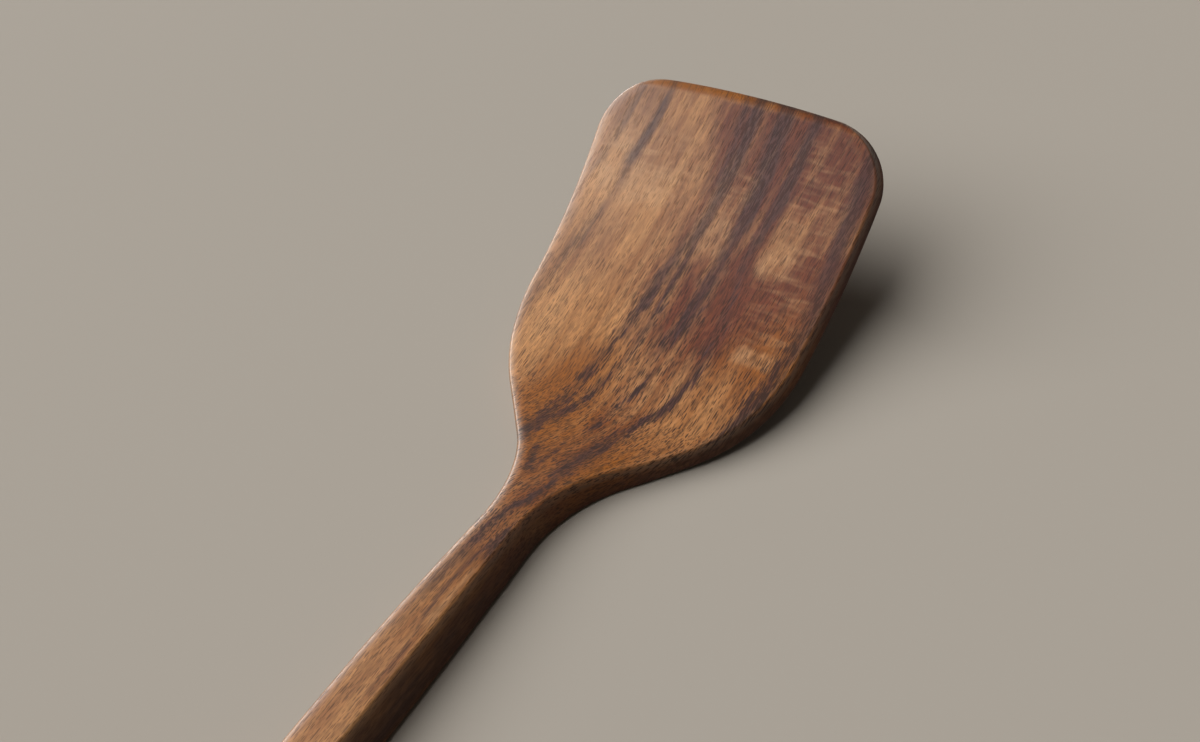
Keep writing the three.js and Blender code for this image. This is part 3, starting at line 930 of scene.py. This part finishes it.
# Each light, as a soft sun: the azimuth and the height it comes from and its width, in degrees, its strength,
# whether it is seen in the gloss or else lights the colours, and its own colour.
LIGHTS = (
    ("main_light", 115, 55, 70, 3.1, False, "#ffffff"),
    ("window_light", 84, 16, 46, 0.8, True, "#ffffff"),
    ("edge_light", 82, 12, 30, 1.0, True, "#ffffff"),
    ("handle_light", 58, 7, 20, 0.9, True, "#ffffff"),
    ("sheen_light", 114, 38, 30, 1.6, True, "#e7f6ff"),
)

# Strength of the surrounding as a light on the colours, and as the camera and the gloss see it.
DIM_STRENGTH, BACKDROP_STRENGTH = 0.12, 0.91


def direction(azimuth, elevation):
    """Unit vector towards an azimuth from +X and an elevation above the floor."""
    level = math.cos(elevation)
    return Vector((math.cos(azimuth) * level, math.sin(azimuth) * level, math.sin(elevation)))


def lay_floor(scene, look):
    """A disc in the plane that the handle's underside rests on."""
    angle = np.linspace(0, 2 * math.pi, FLOOR_SIDES, endpoint=False)
    rim = FLOOR_RADIUS * np.stack([np.cos(angle), np.sin(angle), np.zeros(FLOOR_SIDES)], axis=-1)
    mesh = bpy.data.meshes.new("floor")
    mesh.from_pydata(rim.tolist(), [], [list(range(FLOOR_SIDES))])
    mesh.materials.append(matt_floor(look))
    floor = bpy.data.objects.new("floor", mesh)
    scene.collection.objects.link(floor)


def place_camera(scene, look):
    """Looks at the aim from the given side and height, turned about its line of sight."""
    back = direction(look.azimuth, look.elevation)
    right = Vector((0, 0, 1)).cross(back).normalized()
    upright = Matrix((right, back.cross(right), back)).transposed()
    view = upright @ Matrix.Rotation(look.roll, 3, "Z")
    data = bpy.data.cameras.new("camera")
    data.lens = look.lens
    data.sensor_fit = "HORIZONTAL"
    data.sensor_width = SENSOR_WIDTH
    camera = bpy.data.objects.new("camera", data)
    camera.matrix_world = Matrix.Translation(Vector(look.aim) + back * look.distance) @ view.to_4x4()
    scene.collection.objects.link(camera)
    scene.camera = camera


def place_lights(scene):
    """The soft suns: the main one, high on the left, lights the colours, and the lower ones on the left lay
    their sheen on the face, the edges and the handle."""
    for name, azimuth, elevation, width, strength, in_gloss, tint in LIGHTS:
        data = bpy.data.lights.new(name, "SUN")
        data.angle = math.radians(width)
        data.energy = strength
        data.color = linear(tint)[:3]
        light = bpy.data.objects.new(name, data)
        light.visible_diffuse = not in_gloss
        light.visible_glossy = in_gloss
        towards = direction(math.radians(azimuth), math.radians(elevation))
        light.matrix_world = towards.to_track_quat("Z", "Y").to_matrix().to_4x4()
        scene.collection.objects.link(light)


def surround(scene, look):
    """A dim surrounding in the colour of the floor, which the camera and the gloss see brighter."""
    world = bpy.data.worlds.new("studio")
    world.use_nodes = True
    tree = world.node_tree
    tree.nodes.clear()
    seen = 0.0
    for ray in ("Is Camera Ray", "Is Glossy Ray", "Is Transmission Ray"):
        path = add_node(tree, "ShaderNodeLightPath", None, ray)
        seen = add_node(tree, "ShaderNodeMath", {0: seen, 1: path}, operation="MAXIMUM")
    tone = linear(look.floor)
    dim = add_node(tree, "ShaderNodeBackground", {"Color": tone, "Strength": DIM_STRENGTH})
    backdrop = add_node(tree, "ShaderNodeBackground", {"Color": tone, "Strength": BACKDROP_STRENGTH})
    around = add_node(tree, "ShaderNodeMixShader", {0: seen, 1: dim, 2: backdrop})
    add_node(tree, "ShaderNodeOutputWorld", {"Surface": around})
    scene.world = world


# Operators


class SPATULA_OT_handle(bpy.types.Operator):
    """Make the handle with its spigot"""

    bl_idname = "spatula.handle"
    bl_label = "Handle"

    def execute(self, context):
        """Rings from the rounded butt to the joint, then the spigot's circles out to its chamfered tip."""
        handle, blade = context.scene.spatula_handle, context.scene.spatula_blade
        butt = -handle.handle_length
        end = butt + handle.butt_radius * (1 - np.cos(np.linspace(0, math.pi / 2, BUTT_RINGS)))
        shaft = np.linspace(butt + handle.butt_radius, -JOINT_FROM_NECK, SHAFT_RINGS)
        s = np.concatenate([end[:-1], shaft])
        inset = drawn_in(s - butt, handle.butt_radius)
        half_width = handle_half_width(s, handle) - inset
        top = thickness(s, handle, blade) - inset
        pattern = ring_pattern(HANDLE_FLAT_STEPS, HANDLE_WALL_STEPS)
        body = worked_rings(s, half_width, inset, top, handle, blade, pattern)

        axis = handle.neck_thickness / 2
        tip = handle.spigot_length - JOINT_FROM_NECK
        full = handle.spigot_diameter / 2
        shoulder = body[1][-1], body[2][-1], axis
        spigot = [
            round_ring(-JOINT_FROM_NECK, full, *shoulder),
            round_ring(tip - handle.spigot_chamfer, full, *shoulder),
            round_ring(tip, full - handle.spigot_chamfer, *shoulder),
        ]
        wooden_piece(context, "wooden_handle", "handle", stacked(body, *spigot))
        return {"FINISHED"}


class SPATULA_OT_blade(bpy.types.Operator):
    """Make the blade with its bore"""

    bl_idname = "spatula.blade"
    bl_label = "Blade"

    def execute(self, context):
        """The bore's circles from its bottom to its mouth, then rings from the joint to the front."""
        handle, blade = context.scene.spatula_handle, context.scene.spatula_blade
        corner = blade.blade_length - blade.corner_radius
        straight = np.linspace(-JOINT_FROM_NECK, corner, BOARD_RINGS)
        rounded = corner + blade.corner_radius * np.sin(np.linspace(0, math.pi / 2, CORNER_RINGS))
        s = np.concatenate([straight, rounded[1:]])
        drop = drawn_in(blade.blade_length - s, blade.front_rounding) / blade.front_rounding
        bottom = drop * blade.land_above_back
        front = blade.land_above_back + blade.front_land
        full = thickness(s, handle, blade)
        top = full + (front - full) * drop
        half_width = blade_half_width(s, handle, blade)
        pattern = ring_pattern(BLADE_FLAT_STEPS, BLADE_WALL_STEPS)
        body = worked_rings(s, half_width, bottom, top, handle, blade, pattern)

        axis = handle.neck_thickness / 2
        bore = handle.spigot_diameter / 2 + blade.glue_gap
        bottom_of_bore = handle.spigot_length - JOINT_FROM_NECK + blade.glue_gap
        shoulder = body[1][0], body[2][0], axis
        hole = [
            round_ring(bottom_of_bore, bore, *shoulder),
            round_ring(-JOINT_FROM_NECK, bore, *shoulder),
        ]
        wooden_piece(context, "wooden_blade", "blade", stacked(*hole, body))
        return {"FINISHED"}


class SPATULA_OT_stage(bpy.types.Operator):
    """Make the floor, the lights and the camera"""

    bl_idname = "spatula.stage"
    bl_label = "Stage"

    def execute(self, context):
        """A round floor under the spatula, the camera, soft lights and a dim surrounding."""
        scene = context.scene
        look = scene.spatula_stage
        lay_floor(scene, look)
        place_camera(scene, look)
        place_lights(scene)
        surround(scene, look)
        scene.view_settings.view_transform = "Standard"
        return {"FINISHED"}


class SPATULA_PT_panel(bpy.types.Panel):
    """Sizes, finish and steps of the spatula"""

    bl_idname = "SPATULA_PT_panel"
    bl_label = "Wooden Spatula"
    bl_space_type = "VIEW_3D"
    bl_region_type = "UI"
    bl_category = "Spatula"

    def draw(self, context):
        """Lists every size and colour, and then the steps."""
        for group in GROUPS:
            settings = getattr(context.scene, group)
            column = self.layout.column(align=True)
            for name in settings.__annotations__:
                column.prop(settings, name)
        for operator in OPERATORS:
            self.layout.operator(operator.bl_idname)


GROUPS = {
    "spatula_handle": HandleSizes,
    "spatula_blade": BladeSizes,
    "spatula_wood": WoodLook,
    "spatula_stage": StageLook,
}
OPERATORS = (SPATULA_OT_stage, SPATULA_OT_handle, SPATULA_OT_blade)
CLASSES = (*GROUPS.values(), *OPERATORS, SPATULA_PT_panel)


def register():
    """Registers the classes and hangs the groups of sizes and colours on the scene."""
    for cls in CLASSES:
        bpy.utils.register_class(cls)
    for name, group in GROUPS.items():
        setattr(bpy.types.Scene, name, PointerProperty(type=group))


def unregister():
    """Takes the groups off the scene and the classes out again."""
    for name in GROUPS:
        delattr(bpy.types.Scene, name)
    for cls in reversed(CLASSES):
        bpy.utils.unregister_class(cls)


def main():
    """Builds the stage and both pieces."""
    register()
    bpy.ops.spatula.stage()
    bpy.ops.spatula.handle()
    bpy.ops.spatula.blade()


if __name__ == "__main__":
    main()
